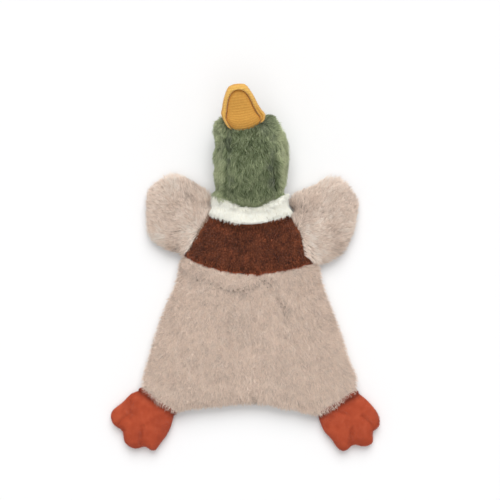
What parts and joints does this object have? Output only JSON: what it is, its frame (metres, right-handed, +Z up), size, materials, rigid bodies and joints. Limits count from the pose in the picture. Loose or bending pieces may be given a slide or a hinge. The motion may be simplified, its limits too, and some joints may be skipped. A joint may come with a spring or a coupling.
{
  "type": "plush duck",
  "caption": "Flat-bodied plush duck lying on its back, with a stuffed head and bill, a collar, a chest band, paddle wings and webbed feet.",
  "frame": {"origin": "middle of the bounding box, on the table", "axes": "+X to the toy's left as it lies on its back, the right of the picture; +Y from the hem to the bill; +Z up from the table"},
  "size_m": [0.2438, 0.3262, 0.0622],
  "materials": {
    "beige_plush": "long soft pile, matt",
    "brown_plush": "short dense pile, matt",
    "white_plush": "short curly pile, matt",
    "green_plush": "long shaggy pile, matt",
    "ribbed_cloth": "fine-ribbed corduroy, matt",
    "orange_velour": "short velour, matt with a soft sheen",
    "filling": "loose polyester fibre, matt",
    "eye_thread": "satin-stitched thread, soft gloss"
  },
  "bodies": {
    "chest": {"chest_front": "brown_plush", "chest_back": "brown_plush", "chest_wadding": "filling"},
    "belly": {"belly_front": "beige_plush", "belly_back": "beige_plush", "belly_wadding": "filling"},
    "collar": {"collar_front": "white_plush", "collar_back": "white_plush", "collar_filling": "filling"},
    "head": {"throat_panel": "green_plush", "head_side_left": "green_plush", "head_side_right": "green_plush", "head_filling": "filling", "eye_left": "eye_thread", "eye_right": "eye_thread", "bill_upper": "ribbed_cloth", "bill_lower": "ribbed_cloth", "bill_filling": "filling"},
    "wing_left": {"wing_left_front": "beige_plush", "wing_left_back": "beige_plush", "wing_left_filling": "filling"},
    "foot_left": {"foot_left_top": "orange_velour", "foot_left_sole": "orange_velour", "foot_left_filling": "filling"},
    "wing_right": {"wing_right_front": "beige_plush", "wing_right_back": "beige_plush", "wing_right_filling": "filling"},
    "foot_right": {"foot_right_top": "orange_velour", "foot_right_sole": "orange_velour", "foot_right_filling": "filling"}
  },
  "joints": [
    {"name": "waist_fold", "type": "hinge", "parent": "chest", "child": "belly", "pos_m": [0.00051, -0.00292, 0.022], "axis": [-1, 0, 0], "range_deg": [0, 90]},
    {"name": "neck_nod", "type": "hinge", "parent": "chest", "child": "collar", "pos_m": [0.00051, 0.04238, 0.022], "axis": [1, 0, 0], "range_deg": [0, 60]},
    {"name": "head_turn", "type": "hinge", "parent": "collar", "child": "head", "pos_m": [0.00151, 0.09823, 0.017], "axis": [0, 1, 0], "range_deg": [-30, 30]},
    {"name": "wing_left_flap", "type": "hinge", "parent": "chest", "child": "wing_left", "pos_m": [-0.05799, 0.01273, 0.016], "axis": [0.5225, 0.8526, 0], "range_deg": [0, 50]},
    {"name": "wing_right_flap", "type": "hinge", "parent": "chest", "child": "wing_right", "pos_m": [0.05901, 0.00773, 0.016], "axis": [0.4478, -0.8942, 0], "range_deg": [0, 50]},
    {"name": "foot_left_flex", "type": "hinge", "parent": "belly", "child": "foot_left", "pos_m": [-0.08079, -0.11717, 0.012], "axis": [-0.829, 0.5592, 0], "range_deg": [0, 60]},
    {"name": "foot_right_flex", "type": "hinge", "parent": "belly", "child": "foot_right", "pos_m": [0.08181, -0.11717, 0.012], "axis": [-0.8572, -0.515, 0], "range_deg": [0, 60]}
  ]
}
